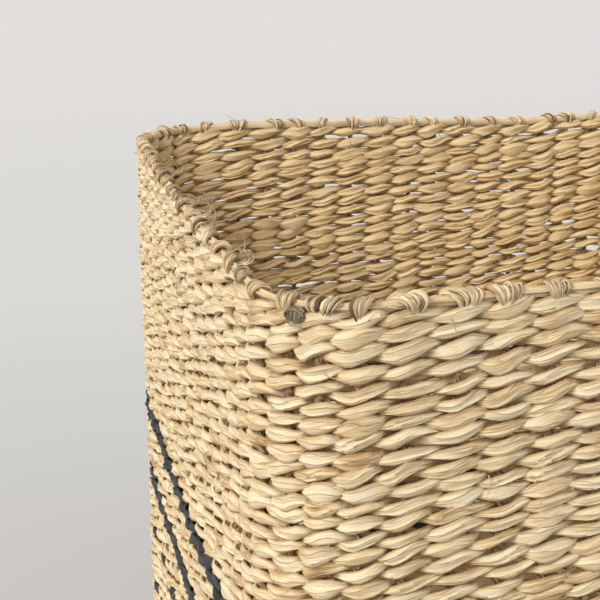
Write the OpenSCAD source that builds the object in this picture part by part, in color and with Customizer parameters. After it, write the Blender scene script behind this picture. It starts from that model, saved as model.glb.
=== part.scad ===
// Square seagrass storage basket, twined by hand round upright stakes.
// Frame: origin at the centre of the flat underside, +Z up, front wall at -Y, left wall at -X.
// Stakes, base strands, the border and the rim bundle are each a solid of their own. A wall strand
// is made up of straight lengths along the sides and bent lengths round the corners.

/* [Basket] */
// Outside width of the walls, left to right
basket_w = 420; // [360:5:480]
// Outside depth of the walls, front to back
basket_d = 410; // [360:5:480]
// Outside radius of the upright corners
corner_r = 42; // [38:1:60]

/* [Weave] */
// Height of one twined course
course_h = 6.8; // [6:0.1:8]
// Thickness of one flattened strand, across the wall or the base
strand_t = 3; // [2.4:0.1:3.4]
// Play left between neighbouring strands, stakes and rim pieces
slip = 0.1; // [0.1:0.05:0.2]

/* [Stakes] */
// Diameter of a twisted stake
stake_d = 3.6; // [3:0.1:4]
// Stakes that run up the front, and on across the base and up the back
stakes_across = 17; // [15:1:19]
// Upright stakes added in each corner
stakes_corner = 4; // [3:1:4]

/* [Rim] */
// Diameter of the bundle laid along the top edge
rim_d = 6; // [5:0.5:8]
// Width of a stake end where it is turned over the rim bundle
wrap_w = 6; // [4:0.5:7]
// Thickness of a stake end where it is turned over the rim bundle
wrap_t = 2.2; // [1.6:0.1:2.6]
// Diameter of the coiled knot at the front left corner
knot_d = 7.8; // [6:0.2:9]

/* [Colours] */
// Natural seagrass
natural = "burlywood"; // [burlywood, tan, wheat]
// Dyed seagrass of the dark stripes
charcoal = "darkslategray"; // [darkslategray, dimgray, black]
// Twisted stakes and their turned-over ends
brown = "peru"; // [peru, sienna, chocolate]

/* [Hidden] */
$fn = 48;
COURSE_COUNT = 50;
// Courses counted up from the floor: with one dyed strand, and above them with both strands dyed.
DASHED_COURSES = [7, 13];
DARK_COURSES = [18, 19, 25, 26];
// Stakes that run up the left side, across the base and up the right side. An even number keeps
// the middle of the base free for a course, and four base places go with each of these stakes.
STAKES_ALONG = 16;
PLACES = 4;

// Layers of the wall, out from its middle line: inner strand, stake, outer strand.
stake_half = stake_d / 2 + slip;
wall_half = stake_half + strand_t;
wall_t = 2 * wall_half;
// Layers of the base, up from the floor: lower strands, stakes that run front to back, and then
// the upper strands, with the stakes that run side to side between them.
low_z = strand_t + slip + stake_d / 2;
high_z = low_z + stake_d + slip;
base_t = high_z + stake_d / 2 + slip;
line_w = basket_w - wall_t;
line_d = basket_d - wall_t;
line_r = corner_r - wall_half;
straight_w = line_w - 2 * line_r;
straight_d = line_d - 2 * line_r;
pitch_w = straight_w / stakes_across;
pitch_d = straight_d / STAKES_ALONG;
strand_h = course_h - slip;
wall_top = base_t + COURSE_COUNT * course_h;
wrap_in = rim_d / 2 + slip;
wrap_out = wrap_in + wrap_t;
rim_z = wall_top + wrap_out;
stake_top = rim_z - wrap_in - wrap_t / 2;
bend_r = stake_half + slip;
place_d = pitch_d / PLACES;

function course_name(n) = str("weft_course_", n < 10 ? "0" : "", n);
COURSES = [for (n = [1:COURSE_COUNT]) course_name(n)];

// Stations [x, y, heading of the outward normal] of stakes on the wall's middle line.
front_row = [for (i = [0:stakes_across - 1])
    [(i - (stakes_across - 1) / 2) * pitch_w, -line_d / 2, -90]];
right_row = [for (i = [0:STAKES_ALONG - 1])
    [line_w / 2, (i - (STAKES_ALONG - 1) / 2) * pitch_d, 0]];
function corner_row(side_x, side_y, first) = [for (i = [0:stakes_corner - 1])
    let (a = first + (i + 0.5) * 90 / stakes_corner)
    [side_x * straight_w / 2 + line_r * cos(a), side_y * straight_d / 2 + line_r * sin(a), a]];
corner_stations = concat(corner_row(1, -1, -90), corner_row(1, 1, 0),
    corner_row(-1, 1, 90), corner_row(-1, -1, 180));

// Outline of a round-cornered rectangle, a distance out from the wall's middle line.
module line_outline(out) {
    w = line_w + 2 * out;
    d = line_d + 2 * out;
    r = line_r + out;
    square([w - 2 * r, d], center = true);
    square([w, d - 2 * r], center = true);
    for (x = [-1, 1], y = [-1, 1])
        translate([x * (w / 2 - r), y * (d / 2 - r)]) circle(r = r, $fn = 96);
}

// Closed band right round the basket between two distances out from the middle line.
module ring(inner, outer, height) {
    linear_extrude(height = height) difference() {
        line_outline(outer);
        line_outline(inner);
    }
}

// One strand of a course, between two distances out from the middle line: a straight length
// along each side and a bent length round each corner, which end to end leave a little play.
module wall_strand(inner, outer) {
    width = outer - inner;
    long_w = straight_w - 2 * slip;
    long_d = straight_d - 2 * slip;
    for (turn = [0, 180]) rotate([0, 0, turn]) {
        translate([-long_w / 2, line_d / 2 + inner, 0]) cube([long_w, width, strand_h]);
        translate([line_w / 2 + inner, -long_d / 2, 0]) cube([width, long_d, strand_h]);
        for (side = [0, 1])
            translate([(1 - 2 * side) * straight_w / 2, straight_d / 2, 0]) rotate([0, 0, 90 * side])
                rotate_extrude(angle = 90, $fn = 96) translate([line_r + inner, 0]) square([width, strand_h]);
    }
}

function is_in(n, list) = len([for (k = list) if (k == n) k]) > 0;

// The two strands of a course, one on each side of the stakes.
module weft_course(n) {
    both_dyed = is_in(n, DARK_COURSES);
    one_dyed = is_in(n, DASHED_COURSES);
    translate([0, 0, base_t + (n - 1) * course_h]) {
        color(both_dyed || one_dyed ? charcoal : natural) wall_strand(stake_half, wall_half);
        color(both_dyed ? charcoal : natural) wall_strand(-wall_half, -stake_half);
    }
}

// Half the length of a base course that reaches out to a distance y from the basket's middle.
// It stops short of the upright stakes.
function half_length(y) = straight_w / 2
    + sqrt(pow(line_r - bend_r, 2) - pow(max(0, y - straight_d / 2), 2));

// The two strands of a base course, under and over the stakes that run from front to back.
module base_course(y) {
    width = place_d - 2 * slip;
    reach = half_length(abs(y) + width / 2);
    for (z = [0, low_z + stake_half])
        translate([-reach, y - width / 2, z]) cube([2 * reach, width, strand_t]);
}

// The base courses lie side by side, and a stake takes every fourth place between the side walls.
module base_courses() {
    last = floor((line_d / 2 - bend_r - place_d / 2) / place_d);
    stake_limit = 2 * (STAKES_ALONG - 1);
    color(natural)
        for (k = [-last:last])
            if (abs(k) > stake_limit || abs(k) % PLACES != 2) base_course(k * place_d);
}

// Single strand round the edge of the base, which covers the bends of the stakes.
module base_border() {
    color(natural) ring(stake_half, wall_half, base_t - slip);
}

// End of a stake turned once round the rim bundle. The bundle runs along X.
module turned_end() {
    flat = 1 / cos(22.5);
    translate([0, 0, rim_z]) rotate([90, 0, 90]) rotate([0, 0, 22.5])
        linear_extrude(height = wrap_w, center = true) difference() {
            circle(r = wrap_out * flat, $fn = 8);
            circle(r = wrap_in * flat, $fn = 8);
        }
}

// Upright stretch of a stake with its turned-over end, standing on the Z axis.
module upright(bottom) {
    translate([0, 0, bottom]) cylinder(d = stake_d, h = stake_top - bottom);
    turned_end();
}

// Long stake in the XZ plane: up one wall, across the base at height z and up the other wall.
module long_stake(span, z) {
    for (side = [0, 180]) rotate([0, 0, side]) {
        translate([span / 2, 0, 0]) rotate([0, 0, 90]) upright(z + bend_r);
        translate([span / 2 - bend_r, 0, z + bend_r]) rotate([90, 90, 0])
            rotate_extrude(angle = 90) translate([bend_r, 0]) circle(d = stake_d);
    }
    translate([bend_r - span / 2, 0, z]) rotate([0, 90, 0]) cylinder(d = stake_d, h = span - 2 * bend_r);
}

module stakes_front_to_back() {
    color(brown) for (s = front_row)
        translate([s[0], 0, 0]) rotate([0, 0, 90]) long_stake(line_d, low_z);
}

module stakes_side_to_side() {
    color(brown) for (s = right_row)
        translate([0, s[1], 0]) long_stake(line_w, high_z);
}

module stakes_corners() {
    color(brown) for (s = corner_stations)
        translate([s[0], s[1], 0]) rotate([0, 0, s[2] + 90]) upright(slip);
}

// Bundle of straight leaves that runs right round the top edge under the turned-over ends.
module rim_bundle() {
    color(natural) translate([0, 0, rim_z]) for (turn = [0, 180]) rotate([0, 0, turn]) {
        translate([-straight_w / 2, -line_d / 2, 0]) rotate([0, 90, 0]) cylinder(d = rim_d, h = straight_w);
        translate([line_w / 2, straight_d / 2, 0]) rotate([90, 0, 0]) cylinder(d = rim_d, h = straight_d);
        translate([straight_w / 2, -straight_d / 2, 0]) rotate([0, 0, -90])
            rotate_extrude(angle = 90) translate([line_r, 0]) circle(d = rim_d);
        translate([straight_w / 2, straight_d / 2, 0])
            rotate_extrude(angle = 90) translate([line_r, 0]) circle(d = rim_d);
    }
}

// Coiled end of the rim bundle, against its outside at the front left corner.
module rim_knot() {
    coil_d = knot_d / 3;
    out = line_r + rim_d / 2 + slip + coil_d / 2;
    color(brown) translate([-straight_w / 2, -straight_d / 2, rim_z - rim_d / 6])
        rotate([0, 0, 225]) translate([out, 0, 0]) rotate([0, 90, 0]) {
            rotate_extrude() translate([(knot_d - coil_d) / 2, 0]) circle(d = coil_d);
            cylinder(d = 1.2 * coil_d, h = 0.8 * coil_d, center = true);
        }
}

for (n = [1:COURSE_COUNT]) weft_course(n);
base_courses();
base_border();
stakes_front_to_back();
stakes_side_to_side();
stakes_corners();
rim_bundle();
rim_knot();
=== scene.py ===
"""Square seagrass storage basket, twined by hand round upright stakes. Metres, in the CAD model's frame."""
import math

import bpy
import numpy as np
from mathutils import Euler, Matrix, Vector


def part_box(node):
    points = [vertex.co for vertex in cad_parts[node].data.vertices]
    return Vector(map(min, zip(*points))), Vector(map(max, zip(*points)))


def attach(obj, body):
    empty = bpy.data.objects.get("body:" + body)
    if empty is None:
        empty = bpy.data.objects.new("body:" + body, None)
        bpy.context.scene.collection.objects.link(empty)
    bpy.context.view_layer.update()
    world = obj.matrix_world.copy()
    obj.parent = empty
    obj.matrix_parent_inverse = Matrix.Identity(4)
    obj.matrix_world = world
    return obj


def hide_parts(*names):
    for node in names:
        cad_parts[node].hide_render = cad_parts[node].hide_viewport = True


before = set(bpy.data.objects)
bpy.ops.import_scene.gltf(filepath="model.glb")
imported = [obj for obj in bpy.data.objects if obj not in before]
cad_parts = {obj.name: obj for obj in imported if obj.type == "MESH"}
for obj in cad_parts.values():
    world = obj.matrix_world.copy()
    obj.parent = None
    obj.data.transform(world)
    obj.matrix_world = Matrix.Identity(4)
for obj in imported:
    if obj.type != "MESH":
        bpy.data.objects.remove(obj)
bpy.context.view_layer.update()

# ---------------------------------------------------------------- driving sizes, from the frame
COURSES = sorted(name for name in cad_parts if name.startswith("weft_course_"))
RIM_LOW, RIM_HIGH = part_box("rim_bundle")
WALL_LOW, WALL_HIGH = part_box(COURSES[0])
BASE_T = WALL_LOW.z
RIM_R = (RIM_HIGH.z - RIM_LOW.z) / 2
RIM_Z = (RIM_HIGH.z + RIM_LOW.z) / 2
LINE_W = RIM_HIGH.x - RIM_LOW.x - 2 * RIM_R
LINE_D = RIM_HIGH.y - RIM_LOW.y - 2 * RIM_R
WALL_HALF = (WALL_HIGH.x - WALL_LOW.x - LINE_W) / 2
STAKE_R = WALL_HALF - 0.0031
LINE_R = 0.042 - WALL_HALF
STRAIGHT_W = LINE_W - 2 * LINE_R
STRAIGHT_D = LINE_D - 2 * LINE_R
STAKES_ACROSS = 17
STAKES_ALONG = 16
STAKES_CORNER = 4
STAKES = 2 * (STAKES_ACROSS + STAKES_ALONG) + 4 * STAKES_CORNER
PITCH_W = STRAIGHT_W / STAKES_ACROSS
PITCH_D = STRAIGHT_D / STAKES_ALONG
ARC = math.pi / 2 * LINE_R
PERIMETER = 2 * (STRAIGHT_W + STRAIGHT_D) + 4 * ARC
DARK_COURSES = (18, 19, 25, 26)
DASHED_COURSES = (7, 13)

# The rim bundle is pressed a little thinner than in the CAD, and the courses close up to it.
BUNDLE_R = 0.78 * RIM_R
BUNDLE_Z = RIM_Z + 0.0017
ROW_H = (BUNDLE_Z - 0.6 * BUNDLE_R - BASE_T) / len(COURSES)
PACKED = 0.03

# How far the soft walls have settled out of true.
FRONT_BOW = 0.0037
BACK_BOW = 0.001
LEFT_BOW = -0.005
RIGHT_BOW = 0.003
FRONT_SAG = 0.0027
BACK_SAG = -0.0008
SIDE_SAG = 0.0004
CORNER_DROP = 0.0026
BULGE = 0.0008

rng = np.random.default_rng(7)


def row_height(number):
    """Height of the middle of a course, counted from 0: the upper ones are packed closer."""
    t = (number + 0.5) / len(COURSES)
    return BASE_T + ROW_H * len(COURSES) * (t + PACKED * t * (1 - t))


# ---------------------------------------------------------------- smooth random values
def smooth_noise(x, seed, octaves=3):
    """Smooth noise of one variable, about -1 to 1, one wiggle per unit and finer ones added."""
    local = np.random.default_rng(seed)
    total = np.zeros_like(x, float)
    for octave in range(octaves):
        table = local.uniform(-1, 1, 256)
        t = x * 2**octave + local.uniform(0, 64)
        i = np.floor(t).astype(int)
        f = t - i
        f = f * f * (3 - 2 * f)
        total += (table[i % 256] * (1 - f) + table[(i + 1) % 256] * f) * 0.6**octave
    return total


def ring_noise(angle, seed, waves=5):
    """Smooth noise that closes on itself, of an angle that runs once round."""
    local = np.random.default_rng(seed)
    total = np.zeros_like(angle, float)
    for wave in range(1, waves + 1):
        total += local.normal() / wave * np.sin(wave * angle + local.uniform(0, 2 * math.pi))
    return total / 1.5


# ---------------------------------------------------------------- the wall's middle line
def stake_distances():
    """How far along the middle line each stake stands, from the start of the front's straight."""
    out = []
    start = 0.0
    for straight, count in ((STRAIGHT_W, STAKES_ACROSS), (STRAIGHT_D, STAKES_ALONG)) * 2:
        out += [start + (i + 0.5) * straight / count for i in range(count)]
        start += straight
        out += [start + (i + 0.5) * ARC / STAKES_CORNER for i in range(STAKES_CORNER)]
        start += ARC
    return np.array(out)


STAKE_AT = stake_distances() + 0.0011 * rng.normal(0, 1, STAKES).clip(-1.6, 1.6)
STAKE_TABLE = np.concatenate([STAKE_AT, [STAKE_AT[0] + PERIMETER]])


def distance_of(u):
    """Distance along the middle line of the place u, where whole numbers are stakes."""
    turns = np.floor(u / STAKES)
    return np.interp(u - turns * STAKES, np.arange(STAKES + 1), STAKE_TABLE) + turns * PERIMETER


def line_frame(s):
    """x, y and the heading of the outward normal at distance s along the middle line."""
    s = np.mod(s, PERIMETER)
    x = np.zeros_like(s)
    y = np.zeros_like(s)
    heading = np.zeros_like(s)
    corners = ((1, -1), (1, 1), (-1, 1), (-1, -1))
    start = 0.0
    for side in range(4):
        straight = (STRAIGHT_W, STRAIGHT_D)[side % 2]
        turn = (side - 1) * math.pi / 2
        out = (LINE_D, LINE_W)[side % 2] / 2
        m = (s >= start) & (s < start + straight)
        t = s[m] - start - straight / 2
        x[m] = out * math.cos(turn) - t * math.sin(turn)
        y[m] = out * math.sin(turn) + t * math.cos(turn)
        heading[m] = turn
        start += straight
        m = (s >= start) & (s < start + ARC)
        a = turn + (s[m] - start) / LINE_R
        x[m] = corners[side][0] * STRAIGHT_W / 2 + LINE_R * np.cos(a)
        y[m] = corners[side][1] * STRAIGHT_D / 2 + LINE_R * np.sin(a)
        heading[m] = a
        start += ARC
    return x, y, heading


REAR_RISE_X = np.array([-0.2, -0.14, -0.05, 0.06, 0.2])
REAR_RISE = np.array([0.0, 0.003, 0.001, -0.0027, 0.0])


# A place high on the back wall where two courses have been pulled apart.
PARTED_X = 0.1180
PARTED_HALF = 0.0140
PARTED_GAP = 0.0034
PARTED_ABOVE = 36


def parted(number, x, y):
    """How far a course is lifted or lowered beside the gap in the back wall."""
    lens = np.clip(1 - ((x - PARTED_X) / PARTED_HALF) ** 2, 0, 1) ** 1.2 * (y > 0.1)
    above = number >= PARTED_ABOVE
    away = number - PARTED_ABOVE if above else PARTED_ABOVE - 1 - number
    return (0.5 if above else -0.5) * PARTED_GAP * lens * max(0.0, 1 - away / 5)


def settle(p):
    """Moves points of the walls as the soft basket has settled: bowed walls, a sagging rim."""
    x, y, z = p[..., 0], p[..., 1], p[..., 2]
    t = np.clip(z / RIM_Z, 0, 1.05)
    along_x = np.cos(math.pi * np.clip(x / LINE_W, -0.5, 0.5))
    along_y = np.cos(math.pi * np.clip(y / LINE_D, -0.5, 0.5))
    near_y = np.abs(y / (LINE_D / 2)) ** 3
    near_x = np.abs(x / (LINE_W / 2)) ** 3
    swell = BULGE * np.sin(math.pi * np.clip(t, 0, 1))
    bow_y = np.where(y < 0, FRONT_BOW, BACK_BOW) * t**2 - swell
    bow_x = np.where(x < 0, LEFT_BOW, RIGHT_BOW) * t**2 - swell
    sag_y = np.where(y < 0, FRONT_SAG, BACK_SAG)
    angle = np.arctan2(y, x)
    wobble = 0.0012 * ring_noise(angle, 11) * t + 0.0006 * np.sin(9 * z / RIM_Z + 3 * angle) * t
    radius = np.hypot(x, y) + 1e-9
    out = p.copy()
    out[..., 0] = x - np.sign(x) * bow_x * along_y * near_x + wobble * x / radius
    out[..., 1] = y - np.sign(y) * bow_y * along_x * near_y + wobble * y / radius
    corner = np.exp(-(((x + LINE_W / 2) ** 2 + (y + LINE_D / 2) ** 2) / 0.07**2))
    drop = sag_y * along_x * near_y + SIDE_SAG * along_y * near_x + CORNER_DROP * corner
    drop = drop - np.where(y > 0, np.interp(x, REAR_RISE_X, REAR_RISE), 0.0) * near_y
    out[..., 2] = z - drop * t**2 + 0.0009 * ring_noise(angle, 17, 9) * t**2
    return out


# ---------------------------------------------------------------- meshes
def make_piece(name, parts, material, nodes, smooth=True, crease=32):
    """One object from parts (points, quads or lists of faces, {attribute: value per point})."""
    points = np.concatenate([p[0] for p in parts])
    offsets = np.cumsum([0] + [len(p[0]) for p in parts])[:-1]
    quads = np.concatenate([p[1] + o for p, o in zip(parts, offsets)])
    mesh = bpy.data.meshes.new(name)
    mesh.vertices.add(len(points))
    mesh.vertices.foreach_set("co", points.astype(np.float32).ravel())
    mesh.loops.add(quads.size)
    mesh.loops.foreach_set("vertex_index", quads.astype(np.int32).ravel())
    mesh.polygons.add(len(quads))
    mesh.polygons.foreach_set("loop_start", np.arange(0, quads.size, 4, dtype=np.int32))
    mesh.polygons.foreach_set("loop_total", np.full(len(quads), 4, np.int32))
    mesh.update(calc_edges=True)
    for key in parts[0][2]:
        values = np.concatenate([p[2][key] for p in parts]).astype(np.float32)
        mesh.attributes.new(key, "FLOAT", "POINT").data.foreach_set("value", values)
    mesh.polygons.foreach_set("use_smooth", np.full(len(quads), smooth))
    mesh.validate()
    if crease:
        mesh.set_sharp_from_angle(angle=math.radians(crease))
    piece = bpy.data.objects.new(name, mesh)
    bpy.context.scene.collection.objects.link(piece)
    mesh.materials.append(material)
    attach(piece, "root")
    if nodes:
        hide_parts(*nodes)
    return piece


def tube_quads(rings, around, closed):
    """Quads of a grid of rings of points, closed on itself or capped at both ends.

    around is even, because the caps are made of quads.
    """
    i = np.arange(rings if closed else rings - 1)[:, None]
    j = np.arange(around)[None, :]
    a = i * around + j
    b = i * around + (j + 1) % around
    c = ((i + 1) % rings) * around + (j + 1) % around
    d = ((i + 1) % rings) * around + j
    quads = np.stack([a, d, c, b], -1).reshape(-1, 4)
    if closed:
        return quads
    caps = []
    last = (rings - 1) * around
    for k in range(around // 2 - 1):
        caps.append([k, k + 1, around - 2 - k, around - 1 - k])
        caps.append([last + around - 1 - k, last + around - 2 - k, last + k + 1, last + k])
    return np.concatenate([quads, np.array(caps)])


# ---------------------------------------------------------------- twined strands
# Points round a strand: its two edges, and five lines on each face between them.
LINES = np.linspace(-1, 1, 7)
LEAF_UP = np.concatenate([LINES, LINES[-2:0:-1]])
LEAF_OUT = np.concatenate([(1 - LINES**2) ** 0.7, -((1 - LINES[-2:0:-1] ** 2) ** 0.7)])
AROUND = len(LEAF_UP)
STEPS = 7
SWING = STAKE_R + 0.0010
LEAF_T = 0.0009
SLANT = 0.20
LEAN_OUT = 0.0003
SEAM = 28.0


def triangle_wave(x):
    """Wave of straight slopes and sharp ridges, from -1 to 1."""
    return 4 * np.abs(x - np.floor(x) - 0.5) - 1


def blended(values, u):
    """Value at u of one number per whole u, blended smoothly from each to the next."""
    i = np.floor(u).astype(int)
    f = u - i
    f = f * f * (3 - 2 * f)
    n = len(values)
    return values[i % n] * (1 - f) + values[(i + 1) % n] * f


def folded_leaf(local, count, u):
    """Phase of the folds that run slightly askew along a leaf, for each ring of points."""
    often = local.uniform(0.5, 1.2, count)
    skew = local.uniform(-1.0, 1.0, count)
    shift = local.uniform(0, 1, (2, count))
    i = np.floor(u).astype(int)
    f = u - i
    face = np.where(LEAF_OUT >= 0, 0, 1)
    total = 0
    for k in (0, 1):
        n = (i + k) % count
        weight = (1 - f) if k == 0 else f
        weight = weight * weight * (3 - 2 * weight)
        where = LEAF_UP[None, :] + (skew[n] * (u - i - k))[:, None]
        total = total + weight[:, None] * (often[n][:, None] * where + shift[:, n].T[:, face])
    return total


def twined_strand(count, first, closed, seed, height, steps=STEPS):
    """Side profile of one strand of a twined pair, passing count stakes.

    first is 0 if it starts outside and 1 if inside. Returns for each ring of points: u, the
    offsets out from the stakes' line, the heights, and the attributes for the materials.
    """
    local = np.random.default_rng(seed)
    rings = count * steps if closed else (count - 1) * steps
    u = np.arange(rings + 1) / steps
    u[-1] -= 0.003
    slip = np.random.default_rng(9000 + seed // 2).normal(0, 0.10, count).clip(-0.2, 0.2)
    theta = math.pi * (u + first + blended(slip, u) + 0.10 * smooth_noise(u / 9, seed // 2, 1))
    co = np.cos(theta)
    width = np.clip(local.lognormal(-0.02, 0.26, count), 0.66, 1.4)
    flat_leaf = local.random(count) < 0.10
    width[flat_leaf] = local.uniform(1.45, 1.8, flat_leaf.sum())
    push = np.where(flat_leaf, 0.0007, 0.0) + local.normal(0, 0.00045, count)
    lift = local.normal(0, 0.07, count)
    tone = local.normal(0, 1, count)
    twist = local.uniform(-0.55, 0.55, count)
    deep = local.uniform(0.3, 1.0, count)
    slant = SLANT * np.clip(1 + 0.45 * local.normal(0, 1, count), 0.5, 1.5)
    wide = blended(width, u)
    side = np.sign(co) * np.abs(co) ** 0.95
    out = side * (SWING + blended(push, u)) + LEAN_OUT * (1 - co**2) ** 2
    high = height * (blended(slant, u) * np.sin(theta) * (1 + 0.25 * co**2) + blended(lift, u))
    half = height * (0.28 + 0.20 * co**2 * (2 - co**2)) * (0.35 + 0.65 * wide)
    thick = LEAF_T * (0.85 + 0.15 * wide) + 0.0009 * (1 - co**2) ** 1.5
    turn = blended(twist, u) * co
    phase = folded_leaf(local, count, u)
    flap = 0.0009 * blended(deep, u)[:, None] * triangle_wave(phase) * (1 - LEAF_UP[None, :] ** 4)
    fold = flap * np.sign(LEAF_OUT)[None, :]
    up = LEAF_UP[None, :] * half[:, None]
    flat = LEAF_OUT[None, :] * thick[:, None] + fold
    c = np.cos(turn)[:, None]
    s = np.sin(turn)[:, None]
    offset = out[:, None] + flat * c - up * s * 0.3
    rise = high[:, None] + up * c + flat * s
    count_all = len(u)
    facts = {
        "along": np.repeat(distance_of(u + SEAM) if closed else u * PITCH_W, AROUND),
        "across": np.tile(LEAF_UP, count_all) * np.repeat(half, AROUND),
        "edge": np.tile(np.abs(LEAF_UP), count_all),
        "fold": phase.ravel(),
        "tone": np.repeat(blended(tone, u), AROUND),
        # how close the strand lies to the stakes' line, for the painted shade in the hollows
        "painted_hollow_shade": np.clip((1 - np.abs(offset) / (SWING + LEAF_T)), 0, 1).ravel(),
        # how far the strand lies inside the wall, for the painted warm shade on the inside
        "inner": np.clip(-offset / SWING + 0.3, 0, 1).ravel() * (1.0 if closed else 0.0),
        "seed": np.full(count_all * AROUND, local.uniform(0, 50)),
    }
    return u, offset, rise, facts


def wall_course_parts(number, strands=(0, 1)):
    """The strands of one wall course, counted from 0 at the base."""
    z = row_height(number)
    parts = []
    for strand in strands:
        seed = 1000 + 2 * number + strand
        u, offset, rise, facts = twined_strand(STAKES, strand, True, seed, ROW_H)
        angle = 2 * math.pi * u / STAKES
        x, y, heading = line_frame(distance_of(u + SEAM) + 0.0012 * ring_noise(angle, 900 + number // 4, 8))
        group, share = number // 3, number % 3 / 3
        level = (1 - share) * ring_noise(angle, 300 + group, 34) + share * ring_noise(angle, 301 + group, 34)
        level = 0.0012 * level + 0.00045 * ring_noise(angle, 500 + number, 60)
        fade = min(1.0, (len(COURSES) - 0.5 - number) / 3, number / 3)
        points = np.empty(offset.shape + (3,))
        points[..., 0] = x[:, None] + offset * np.cos(heading)[:, None]
        points[..., 1] = y[:, None] + offset * np.sin(heading)[:, None]
        points[..., 2] = z + rise + (level * fade + parted(number, x, y))[:, None]
        parts.append((settle(points).reshape(-1, 3), tube_quads(len(u), AROUND, False), facts))
    return parts


def build_wall(natural, charcoal):
    """One piece for each course, or two where only one of its strands is dyed."""
    for number, node in enumerate(COURSES, start=0):
        dark = number + 1 in DARK_COURSES
        if number + 1 in DASHED_COURSES:
            dyed, plain = wall_course_parts(number, (0,)), wall_course_parts(number, (1,))
            make_piece(node + "_dark_strand", dyed, charcoal, [node])
            make_piece(node + "_pale_strand", plain, natural, [node])
            continue
        material, slot = (charcoal, "charcoal_seagrass") if dark else (natural, "natural_seagrass")
        make_piece(node + "_strands", wall_course_parts(number), material, [node])


# ---------------------------------------------------------------- tubes along a path
def path_frames(path):
    """Tangent, side and up vectors along a path, turned as little as possible from point to point."""
    tangent = np.gradient(path, axis=0)
    tangent /= np.linalg.norm(tangent, axis=1, keepdims=True)
    up = np.empty_like(path)
    start = np.array([0.0, 0.0, 1.0]) if abs(tangent[0, 2]) < 0.9 else np.array([1.0, 0.0, 0.0])
    for i, t in enumerate(tangent):
        start = start - t * (start @ t)
        start /= np.linalg.norm(start)
        up[i] = start
    side = np.cross(tangent, up)
    return tangent, side, up


def sweep(path, radius, around, seed, profile=None, roll=0.0, closed=False):
    """Tube along a path. radius is one number or one per point, profile the radii round it."""
    local = np.random.default_rng(seed)
    _, side, up = path_frames(path)
    radius = np.broadcast_to(radius, len(path))
    angle = np.arange(around) * 2 * math.pi / around
    profile = np.ones(around) if profile is None else profile
    length = np.concatenate([[0], np.cumsum(np.linalg.norm(np.diff(path, axis=0), axis=1))])
    turn = angle[None, :] + roll * length[:, None]
    reach = radius[:, None] * profile[None, :]
    points = path[:, None, :] + reach[..., None] * (
        np.cos(turn)[..., None] * side[:, None, :] + np.sin(turn)[..., None] * up[:, None, :]
    )
    facts = {
        "along": np.repeat(length, around),
        "across": np.tile(angle / math.pi - 1, len(path)) * np.repeat(radius, around),
        "edge": np.zeros(len(path) * around),
        "fold": np.tile(angle / math.pi * 1.5, len(path)),
        "tone": np.full(len(path) * around, local.normal(0, 1)),
        "painted_hollow_shade": np.zeros(len(path) * around),
        "inner": np.zeros(len(path) * around),
        "seed": np.full(len(path) * around, local.uniform(0, 50)),
    }
    return points.reshape(-1, 3), tube_quads(len(path), around, closed), facts


def two_ply(around):
    """Radii round a two-ply twisted strip: two lobes."""
    angle = np.arange(around) * 2 * math.pi / around
    return 0.72 + 0.28 * np.abs(np.cos(angle))


# ---------------------------------------------------------------- stakes
STAKE_PLY = 2 * math.pi / 0.016


def stake_path(bottom_points, x, y, step=0.003):
    """Path of an upright stake at (x, y) from the base to under the rim, after bottom_points."""
    z = np.arange(BASE_T, RIM_Z - RIM_R, step)
    upright = settle(np.stack([np.full_like(z, x), np.full_like(z, y), z], -1))
    return np.concatenate([bottom_points, upright])


def long_stake_path(x0, y0, x1, y1, z, step=0.003):
    """Up one wall, across the base at height z and up the other wall."""
    a = np.array([x0, y0, z])
    b = np.array([x1, y1, z])
    inward = (b - a) / np.linalg.norm(b - a)
    count = int(np.linalg.norm(b - a) / step)
    run = np.linspace(a + inward * 0.003, b - inward * 0.003, count)
    rise = z + 0.0025
    first = stake_path(np.array([[x0, y0, rise]]), x0, y0)[::-1]
    second = stake_path(np.array([[x1, y1, rise]]), x1, y1)
    return np.concatenate([first, run, second])


def build_stakes(material):
    """Twisted stakes: two sets of long ones that run under the base, and the corner ones."""
    radius = STAKE_R * 1.12
    low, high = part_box("stakes_front_to_back")[0].z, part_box("base_courses")[1].z
    low_z = low + STAKE_R
    high_z = high - STAKE_R
    parts = []
    x, y, _ = line_frame(STAKE_AT)
    for i in range(STAKES_ACROSS):
        path = long_stake_path(x[i], y[i], x[i], -y[i], low_z)
        parts.append(sweep(path, radius, 8, 40 + i, two_ply(8), STAKE_PLY))
    make_piece("stakes_front_to_back_twisted", parts, material, ["stakes_front_to_back"])
    parts = []
    first = STAKES_ACROSS + STAKES_CORNER
    for i in range(first, first + STAKES_ALONG):
        path = long_stake_path(x[i], y[i], -x[i], y[i], high_z)
        parts.append(sweep(path, radius, 8, 40 + i, two_ply(8), STAKE_PLY))
    make_piece("stakes_side_to_side_twisted", parts, material, ["stakes_side_to_side"])
    parts = []
    for i in range(STAKES):
        if abs(x[i]) > STRAIGHT_W / 2 and abs(y[i]) > STRAIGHT_D / 2:
            path = stake_path(np.array([[x[i], y[i], 0.001]]), x[i], y[i])
            parts.append(sweep(path, radius, 8, 140 + i, two_ply(8), STAKE_PLY))
    make_piece("stakes_corners_twisted", parts, material, ["stakes_corners"])


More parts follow.
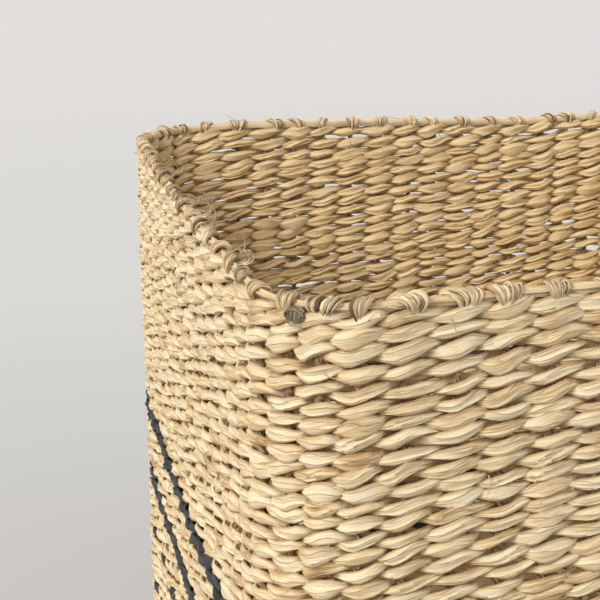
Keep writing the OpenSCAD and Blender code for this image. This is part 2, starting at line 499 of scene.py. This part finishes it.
# ---------------------------------------------------------------- rim
def build_rim_bundle(material):
    """Uneven bundle of leaves laid along the top edge."""
    rings = 640
    around = 14
    s = np.arange(rings) * PERIMETER / rings
    angle = np.arange(around) * 2 * math.pi / around
    local = np.random.default_rng(21)
    ridge = 1 + 0.12 * local.normal(0, 1, around)
    turn = 2 * math.pi * s / PERIMETER
    parts = []
    radius = BUNDLE_R * (0.84 + 0.10 * ring_noise(turn, 22, 90) + 0.07 * np.sin(STAKES * turn * 1.5))
    drift = 0.0008 * ring_noise(turn, 23, 90)
    x, y, heading = line_frame(s)
    reach = radius[:, None] * (1 + (ridge - 1)[None, :] * (1 + 0.5 * ring_noise(turn, 24, 12))[:, None])
    twist = angle[None, :] + 0.6 * ring_noise(turn, 25, 10)[:, None]
    points = np.empty((rings, around, 3))
    out = reach * np.cos(twist) + drift[:, None]
    points[..., 0] = x[:, None] + out * np.cos(heading)[:, None]
    points[..., 1] = y[:, None] + out * np.sin(heading)[:, None]
    points[..., 2] = BUNDLE_Z + reach * np.sin(twist)
    facts = {
        "along": np.repeat(s, around),
        "across": np.tile(angle * RIM_R, rings),
        "edge": np.zeros(rings * around),
        "fold": (np.tile(angle / math.pi * 1.5, rings) + 0.4 * np.repeat(ring_noise(turn, 31, 20), around)),
        "tone": np.repeat(0.4 * ring_noise(turn, 26, 20) + 0.3, around),
        "painted_hollow_shade": np.zeros(rings * around),
        "inner": np.zeros(rings * around),
        "seed": np.full(rings * around, 3.0),
    }
    parts.append((settle(points).reshape(-1, 3), tube_quads(rings, around, True), facts))
    make_piece("rim_bundle_leaves", parts, material, ["rim_bundle"])


def wrap_parts(index):
    """The end of one stake turned over the rim bundle: fibres that fan out over the top."""
    local = np.random.default_rng(700 + index)
    s0 = STAKE_AT[index] + local.normal(0, 0.0013)
    fibres = local.integers(5, 10)
    parts = []
    lean = local.uniform(-0.0034, 0.0034)
    fan = local.uniform(0.0008, 0.0017)
    start = -math.pi * local.uniform(0.62, 0.75)
    end = math.pi * local.uniform(0.66, 0.78)
    for fibre in range(fibres):
        a = np.linspace(start, end, 16)
        near = np.clip(np.abs(a) / (0.7 * math.pi), 0, 1)
        reach = BUNDLE_R + 0.0002 + 0.0005 * abs(local.normal()) + local.uniform(0, 0.0008) * (1 - near)
        shift = (fibre - (fibres - 1) / 2) * fan + local.normal(0, 0.0003)
        s = s0 + shift * (1 - 0.6 * near**2) + (lean + local.normal(0, 0.0003)) * np.sin(a)
        x, y, heading = line_frame(s)
        out = reach * np.sin(a)
        up = np.where(np.abs(a) < math.pi / 2, reach * np.cos(a), -(np.abs(a) - math.pi / 2) * 0.0052)
        out = np.where(np.abs(a) < math.pi / 2, out, np.sign(a) * (reach - (np.abs(a) - math.pi / 2) * 0.0012))
        points = np.stack([x + out * np.cos(heading), y + out * np.sin(heading), BUNDLE_Z + up], -1)
        radius = 0.0008 * local.uniform(0.5, 1.3) * (1 + 0.3 * smooth_noise(np.linspace(0, 4, len(a)), 900 + index))
        radius[:2] *= 0.7
        radius[-2:] *= 0.7
        profile = 1 + 0.15 * local.normal(0, 1, 6)
        parts.append(sweep(settle(points), radius, 6, 7000 + 10 * index + fibre, profile, 200))
    return parts


def build_wraps(material):
    """The turned-over ends of all the stakes, in one piece."""
    parts = []
    for index in range(STAKES):
        parts += wrap_parts(index)
    make_piece("rim_turned_ends", parts, material, [])


def build_knot(material):
    """The rim bundle's coiled end against the outside of the front left corner: wound fibres."""
    low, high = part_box("rim_knot")
    centre = np.array((low + high) / 2)
    normal = np.array([-1.0, -1.0, 0.0]) / math.sqrt(2)
    side = np.array([1.0, -1.0, 0.0]) / math.sqrt(2)
    up = np.array([0.0, 0.0, 1.0])
    local = np.random.default_rng(55)
    parts = []
    a = np.linspace(0, 2 * math.pi, 40)
    for fibre in range(11):
        wide = local.uniform(0.0022, 0.0036)
        tall = local.uniform(0.0018, 0.0028)
        tilt = local.uniform(-0.5, 0.5)
        p = wide * np.cos(a + tilt)
        q = tall * np.sin(a + tilt * 1.6)
        r = local.uniform(-0.0014, 0.0010) + 0.0005 * np.sin(a + local.uniform(0, 6))
        path = centre + p[:, None] * side + q[:, None] * up + r[:, None] * normal
        parts.append(sweep(settle(path[:-2]), local.uniform(0.0003, 0.00055), 6, 81 + fibre))
    for fibre in range(7):
        q = np.linspace(-0.0024, 0.0024, 12)
        p = (fibre - 3) * 0.0008 + local.normal(0, 0.0002) + 0.05 * q
        r = 0.0012 * np.sqrt(1 - (q / 0.003) ** 2)
        path = centre + p[:, None] * side + q[:, None] * up + r[:, None] * normal
        parts.append(sweep(settle(path), local.uniform(0.00035, 0.0005), 6, 95 + fibre))
    make_piece("rim_knot_coil", parts, material, ["rim_knot"])


# Where ends have worked loose along the left rim, from the front (0) to the back (1).
LEFT_TUFTS = (0.16, 0.31, 0.36, 0.42, 0.62)


def build_stray_fibres(material):
    """Loose fibres and leaf ends that stand out from the weave."""
    local = np.random.default_rng(66)
    parts = []
    for fibre in range(190):
        s = local.uniform(0, PERIMETER)
        x, y, heading = (float(v[0]) for v in line_frame(np.array([s])))
        z = row_height(local.integers(1, len(COURSES))) + local.uniform(-0.5, 0.5) * ROW_H
        if fibre % 3 == 0:
            z = row_height(len(COURSES) - 1) + local.uniform(-0.004, 0.008)
        out = np.array([math.cos(heading), math.sin(heading), 0.0])
        along = np.array([-math.sin(heading), math.cos(heading), 0.0])
        face = 1 if local.random() < 0.7 else -1
        length = local.uniform(0.004, 0.012)
        t = np.linspace(0, 1, 9)
        curl = local.normal(0, 0.5, 3)
        start = np.array([x, y, z]) + face * out * 0.003
        path = (
            start
            + (t * length)[:, None] * (along * curl[0] * 1.3 + np.array([0, 0, curl[1]]))
            + (0.0022 * np.sin(math.pi * 0.8 * t) + 0.0012 * t)[:, None] * out * face
            + (t**2 * length * 0.4)[:, None] * (curl[2] * along)
        )
        parts.append(sweep(settle(path), 0.00022 * (1.3 - t), 6, 300 + fibre))
    for tuft in LEFT_TUFTS:
        y = (tuft - 0.5) * LINE_D
        for fibre in range(9):
            t = np.linspace(0, 1, 14)
            length = local.uniform(0.009, 0.022)
            bend = local.uniform(2.0, 5.5)
            turn = local.uniform(-0.9, 0.5)
            reach_x = length * np.sin(bend * t) / bend * math.cos(turn)
            reach_y = length * np.sin(bend * t) / bend * math.sin(turn)
            rise = length * (1 - np.cos(bend * t)) / bend * local.uniform(0.2, 0.9)
            path = np.stack(
                [
                    -LINE_W / 2 + 0.001 + reach_x,
                    y + local.normal(0, 0.003) + reach_y,
                    BUNDLE_Z + BUNDLE_R * 0.6 + rise,
                ],
                -1,
            )
            parts.append(sweep(settle(path), 0.0003 * (1.4 - t), 6, 600 + fibre))
    make_piece("stray_fibres", parts, material, [])


# ---------------------------------------------------------------- base
def base_course_positions():
    """Distances of the base courses from the middle; every fourth place is left to a stake."""
    place = PITCH_D / 4
    last = int((LINE_D / 2 - 0.002 - place / 2) / place)
    limit = 2 * (STAKES_ALONG - 1)
    return [k * place for k in range(-last, last + 1) if abs(k) > limit or abs(k) % 4 != 2]


def build_base(material):
    """Flat twined mat: pairs of strands under and over the stakes that run from front to back."""
    mid_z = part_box("base_courses")[1].z / 2
    place = PITCH_D / 4
    rows = list(enumerate(base_course_positions()))
    for number, first in enumerate(range(0, len(rows), 16)):
        parts = []
        for row, y in rows[first : first + 16]:
            parts += base_course_parts(row, y, mid_z, place)
        make_piece(f"base_mat_{number + 1}", parts, material, ["base_courses"])


def base_course_parts(row, y, mid_z, place):
    """The two strands of one base course."""
    parts = []
    deep = max(0.0, abs(y) + place / 2 - STRAIGHT_D / 2)
    reach = STRAIGHT_W / 2 + math.sqrt((LINE_R - 0.002) ** 2 - deep**2)
    count = 2 * int(reach / PITCH_W) + 1
    for strand in (0, 1):
        u, offset, rise, facts = twined_strand(count, strand, False, 4000 + 2 * row + strand, 1.15 * place, 4)
        x = (u / (count - 1) - 0.5) * 2 * reach
        points = np.empty(offset.shape + (3,))
        points[..., 0] = x[:, None]
        points[..., 1] = y + rise
        points[..., 2] = mid_z - offset * 0.94
        quads = tube_quads(len(u), AROUND, False)[:, ::-1]
        parts.append((points.reshape(-1, 3), quads, facts))
    return parts


def build_border(material):
    """Twisted strand round the edge of the base."""
    rings = 900
    around = 12
    s = np.arange(rings) * PERIMETER / rings
    x, y, heading = line_frame(s)
    low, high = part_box("base_border")
    angle = np.arange(around) * 2 * math.pi / around
    turn = 2 * math.pi * s / PERIMETER
    lobes = 60
    parts = []
    for ply in (0, 1):
        phase = lobes * turn + ply * math.pi
        out = STAKE_R + 0.0018 + 0.0006 * np.cos(phase)
        up = (high.z - low.z) * (0.5 + 0.22 * np.sin(phase))
        points = np.empty((rings, around, 3))
        reach_out = 0.0012
        reach_up = (high.z - low.z) * 0.29
        points_out = out[:, None] + reach_out * np.cos(angle)[None, :]
        points[..., 0] = x[:, None] + points_out * np.cos(heading)[:, None]
        points[..., 1] = y[:, None] + points_out * np.sin(heading)[:, None]
        points[..., 2] = up[:, None] + reach_up * np.sin(angle)[None, :]
        facts = {
            "along": np.repeat(s, around),
            "across": np.tile(np.sin(angle) * reach_up, rings),
            "edge": np.zeros(rings * around),
            "fold": np.tile(angle / math.pi * 1.5, rings),
            "tone": np.repeat(ring_noise(turn, 61 + ply, 40), around),
            "painted_hollow_shade": np.zeros(rings * around),
            "inner": np.zeros(rings * around),
            "seed": np.full(rings * around, 8.0 + ply),
        }
        parts.append((points.reshape(-1, 3), tube_quads(rings, around, True), facts))
    make_piece("base_border_strand", parts, material, ["base_border"])


# ---------------------------------------------------------------- materials
def new_material(name):
    """A material with its node tree and its shader node."""
    material = bpy.data.materials.new(name)
    material.use_nodes = True
    tree = material.node_tree
    return material, tree, tree.nodes["Principled BSDF"]


def add(tree, kind, **inputs):
    """A node with input values, or links where the value is another node's output."""
    node = tree.nodes.new(kind)
    for key, value in inputs.items():
        socket = node.inputs[key.replace("_", " ")]
        if isinstance(value, bpy.types.NodeSocket):
            tree.links.new(value, socket)
        else:
            socket.default_value = value
    return node


def math_node(tree, operation, a, b=0.0, c=0.0):
    """Output of a maths node; each value is a number or another output."""
    node = tree.nodes.new("ShaderNodeMath")
    node.operation = operation
    for socket, value in zip(node.inputs, (a, b, c)):
        if isinstance(value, bpy.types.NodeSocket):
            tree.links.new(value, socket)
        else:
            socket.default_value = value
    return node.outputs[0]


def attribute(tree, name):
    """Output that reads a value stored on the mesh points."""
    node = tree.nodes.new("ShaderNodeAttribute")
    node.attribute_name = name
    return node.outputs["Fac"]


def ramp(tree, factor, stops):
    """Colour from a factor, through stops (place, colour)."""
    node = tree.nodes.new("ShaderNodeValToRGB")
    elements = node.color_ramp.elements
    while len(elements) < len(stops):
        elements.new(0.5)
    for element, (place, colour) in zip(elements, stops):
        element.position = place
        element.color = (*colour, 1)
    tree.links.new(factor, node.inputs["Fac"])
    return node.outputs["Color"]


def mix(tree, factor, a, b, blend="MIX"):
    """Colour mixed from two colours, each a value or an output."""
    node = tree.nodes.new("ShaderNodeMix")
    node.data_type = "RGBA"
    node.blend_type = blend
    for socket, value in ((node.inputs[0], factor), (node.inputs[6], a), (node.inputs[7], b)):
        if isinstance(value, bpy.types.NodeSocket):
            tree.links.new(value, socket)
        elif isinstance(value, (int, float)):
            socket.default_value = value
        else:
            socket.default_value = (*value, 1)
    return node.outputs[2]


def leaf_material(name, light, middle, dark, hollow_shade_colour, inside_shade_colour, grain=1.0, varied=0.11):
    """Dried leaf: fine fibres, fold and wrinkle lines darkened with painted shade, tone that changes from leaf to
    leaf, painted shade at the strands' edges, brown hollows of painted shade with some of the leaf's own brown, and
    painted warm shade inside the wall.
    """
    material, tree, shader = new_material(name)
    along = attribute(tree, "along")
    across = attribute(tree, "across")
    tone = attribute(tree, "tone")
    painted_hollow_shade = attribute(tree, "painted_hollow_shade")
    edge = attribute(tree, "edge")
    fold = attribute(tree, "fold")
    seed = attribute(tree, "seed")
    inner = attribute(tree, "inner")

    def noise(along_scale, across_scale, offset, detail, rough=0.5):
        place = add(
            tree,
            "ShaderNodeCombineXYZ",
            X=math_node(tree, "MULTIPLY", along, along_scale),
            Y=math_node(tree, "MULTIPLY", across, across_scale),
            Z=math_node(tree, "ADD", seed, offset),
        ).outputs[0]
        return add(
            tree, "ShaderNodeTexNoise", Vector=place, Scale=1.0, Detail=detail, Roughness=rough
        ).outputs["Fac"]

    fibre = noise(60.0, 2200.0, 0.0, 3.0, 0.6)
    patch = noise(55.0, 150.0, 9.0, 2.0)
    wrinkle = noise(70.0, 800.0, 17.0, 2.0, 0.4)
    line = math_node(tree, "ABSOLUTE", math_node(tree, "SUBTRACT", wrinkle, 0.5))
    line = math_node(tree, "MULTIPLY_ADD", line, 10.0, 0.35)
    line = math_node(tree, "MINIMUM", line, 1.0)
    wander = math_node(tree, "MULTIPLY_ADD", math_node(tree, "SUBTRACT", patch, 0.5), 0.7, fold)
    layer = math_node(tree, "FRACT", wander)
    overlap = math_node(tree, "MINIMUM", math_node(tree, "MULTIPLY", layer, 9.0), 1.0)
    shade = math_node(tree, "MULTIPLY_ADD", tone, varied, math_node(tree, "MULTIPLY_ADD", patch, 0.6, 0.31))
    shade = math_node(tree, "MULTIPLY_ADD", math_node(tree, "SUBTRACT", fibre, 0.5), 0.5, shade)
    # Painted shade: the colour is darkened along the thin wrinkle creases.
    shade = math_node(tree, "SUBTRACT", shade, math_node(tree, "MULTIPLY_ADD", line, -0.28, 0.28))
    colour = ramp(tree, shade, ((0.15, dark), (0.42, middle), (0.68, light)))
    # Painted shade: thin dark lines along the folds, where leaf layers overlap.
    colour = mix(tree, math_node(tree, "MULTIPLY_ADD", overlap, -0.8, 0.8), colour, dark)
    # Painted shade: the colour darkens towards the strand's edges, where it meets the next strand.
    rim = add(tree, "ShaderNodeMapRange", Value=edge)
    rim.inputs["From Min"].default_value = 0.6
    rim.inputs["From Max"].default_value = 1.0
    rim.inputs["To Max"].default_value = 0.9
    colour = mix(tree, rim.outputs[0], colour, dark)
    # Painted shade, partly the leaf's own brown: the colour goes to the dark hollow colour where a strand passes in
    # deep between the stakes.
    painted_shade_factor = add(tree, "ShaderNodeMapRange", Value=painted_hollow_shade)
    painted_shade_factor.inputs["From Min"].default_value = 0.5
    painted_shade_factor.inputs["From Max"].default_value = 1.0
    painted_shade_factor.inputs["To Max"].default_value = 0.8
    colour = mix(tree, painted_shade_factor.outputs[0], colour, hollow_shade_colour)
    # Painted warm shade: the inside of the wall is mixed toward a warmer, darker colour in place of the light
    # bounced round inside the basket.
    colour = mix(tree, math_node(tree, "MULTIPLY", inner, 0.5), colour, inside_shade_colour)
    tree.links.new(colour, shader.inputs["Base Color"])
    shader.inputs["Roughness"].default_value = 0.6
    shader.inputs["Specular IOR Level"].default_value = 0.35
    height = math_node(tree, "MULTIPLY_ADD", line, 0.35, math_node(tree, "MULTIPLY", fibre, 0.35))
    height = math_node(tree, "ADD", height, math_node(tree, "MULTIPLY", overlap, 0.5))
    height = math_node(tree, "MULTIPLY_ADD", layer, -1.3, height)
    bump = add(tree, "ShaderNodeBump", Strength=0.7 * grain, Distance=0.0008, Height=height)
    tree.links.new(bump.outputs[0], shader.inputs["Normal"])
    return material


def build_materials():
    """Natural leaf, dyed leaf, stakes, their turned-over ends and the knot."""
    # Each leaf colour takes light, middle and dark tones, then a colour of painted shade for the hollows and a
    # colour of painted warm shade for the inside of the wall.
    natural = leaf_material(
        "natural_leaf",
        (0.88, 0.74, 0.49),
        (0.78, 0.59, 0.33),
        (0.40, 0.23, 0.09),
        (0.26, 0.14, 0.05),
        (0.88, 0.63, 0.30),
    )
    charcoal = leaf_material(
        "charcoal_leaf",
        (0.060, 0.065, 0.062),
        (0.028, 0.030, 0.029),
        (0.010, 0.010, 0.010),
        (0.007, 0.007, 0.007),
        (0.035, 0.038, 0.035),
    )
    stake = leaf_material(
        "stake_strip",
        (0.56, 0.38, 0.23),
        (0.38, 0.22, 0.11),
        (0.16, 0.08, 0.035),
        (0.12, 0.06, 0.03),
        (0.38, 0.22, 0.11),
        1.5,
    )
    wrap = leaf_material(
        "turned_end_strip",
        (0.88, 0.70, 0.45),
        (0.68, 0.48, 0.27),
        (0.20, 0.10, 0.04),
        (0.12, 0.06, 0.03),
        (0.62, 0.43, 0.24),
        1.2,
        0.16,
    )
    knot = leaf_material(
        "knot_fibre",
        (0.42, 0.35, 0.22),
        (0.26, 0.20, 0.12),
        (0.10, 0.07, 0.04),
        (0.06, 0.04, 0.02),
        (0.26, 0.20, 0.12),
        1.2,
    )
    return natural, charcoal, stake, wrap, knot


# ---------------------------------------------------------------- camera, stage, lights
CAMERA_AT = (-0.3021, -0.6042, 0.4808)
CAMERA_YAW = 14.41
CAMERA_PITCH = 16.32
CAMERA_FOCAL = 1246.0
IMAGE = 600.0


def build_camera():
    """Camera above and in front of the front left corner, looking down into the basket."""
    data = bpy.data.cameras.new("camera")
    data.sensor_width = 36.0
    data.lens = CAMERA_FOCAL / IMAGE * data.sensor_width
    data.clip_start = 0.01
    camera = bpy.data.objects.new("camera", data)
    camera.location = CAMERA_AT
    camera.rotation_euler = Euler((math.radians(90 - CAMERA_PITCH), 0, -math.radians(CAMERA_YAW)))
    bpy.context.scene.collection.objects.link(camera)
    bpy.context.scene.camera = camera


def build_stage():
    """Plain pale floor with painted light: its colour gets a little lighter further back."""
    mesh = bpy.data.meshes.new("floor")
    r = 14.0
    mesh.from_pydata([(-r, -r, 0), (r, -r, 0), (r, r, 0), (-r, r, 0)], [], [(0, 1, 2, 3)])
    floor = bpy.data.objects.new("floor", mesh)
    bpy.context.scene.collection.objects.link(floor)
    material, tree, shader = new_material("floor_painted_light")
    place = add(tree, "ShaderNodeSeparateXYZ", Vector=tree.nodes.new("ShaderNodeTexCoord").outputs["Object"])
    # Painted light: the floor's colour is darker near the front and lighter further back, in place of how the light
    # falls across it.
    painted_shade_factor = add(tree, "ShaderNodeMapRange", Value=place.outputs["Y"])
    painted_shade_factor.inputs["From Min"].default_value = -0.2
    painted_shade_factor.inputs["From Max"].default_value = 4.0
    shades = ((0.0, (0.52, 0.515, 0.51)), (0.3, (0.67, 0.665, 0.66)), (1.0, (0.72, 0.705, 0.70)))
    tree.links.new(ramp(tree, painted_shade_factor.outputs[0], shades), shader.inputs["Base Color"])
    shader.inputs["Roughness"].default_value = 0.9
    shader.inputs["Specular IOR Level"].default_value = 0.1
    mesh.materials.append(material)


def soft_sun(name, place, target, softness, power, colour=(1, 1, 1)):
    """Sun lamp with a soft edge to its shadows."""
    data = bpy.data.lights.new(name, "SUN")
    data.angle = math.radians(softness)
    data.energy = power
    data.color = colour
    light = bpy.data.objects.new(name, data)
    light.location = place
    light.rotation_euler = (Vector(target) - Vector(place)).to_track_quat("-Z", "Y").to_euler()
    bpy.context.scene.collection.objects.link(light)


def build_lights():
    """Even studio light from all round, and one soft key light from the left."""
    world = bpy.data.worlds.new("studio")
    bpy.context.scene.world = world
    world.use_nodes = True
    world.node_tree.nodes["Background"].inputs["Color"].default_value = (1.0, 0.995, 0.985, 1)
    world.node_tree.nodes["Background"].inputs["Strength"].default_value = 0.62
    soft_sun("key", (-5.0, -2.8, 4.5), (0, 0, 0.2), 30, 2.3, (1.0, 0.98, 0.95))
    bpy.context.scene.view_settings.view_transform = "Standard"


build_camera()
build_stage()
build_lights()
natural_leaf, charcoal_leaf, stake_strip, turned_strip, knot_strip = build_materials()
build_wall(natural_leaf, charcoal_leaf)
build_stakes(stake_strip)
build_rim_bundle(natural_leaf)
build_wraps(turned_strip)
build_knot(knot_strip)
build_stray_fibres(natural_leaf)
build_base(natural_leaf)
build_border(natural_leaf)
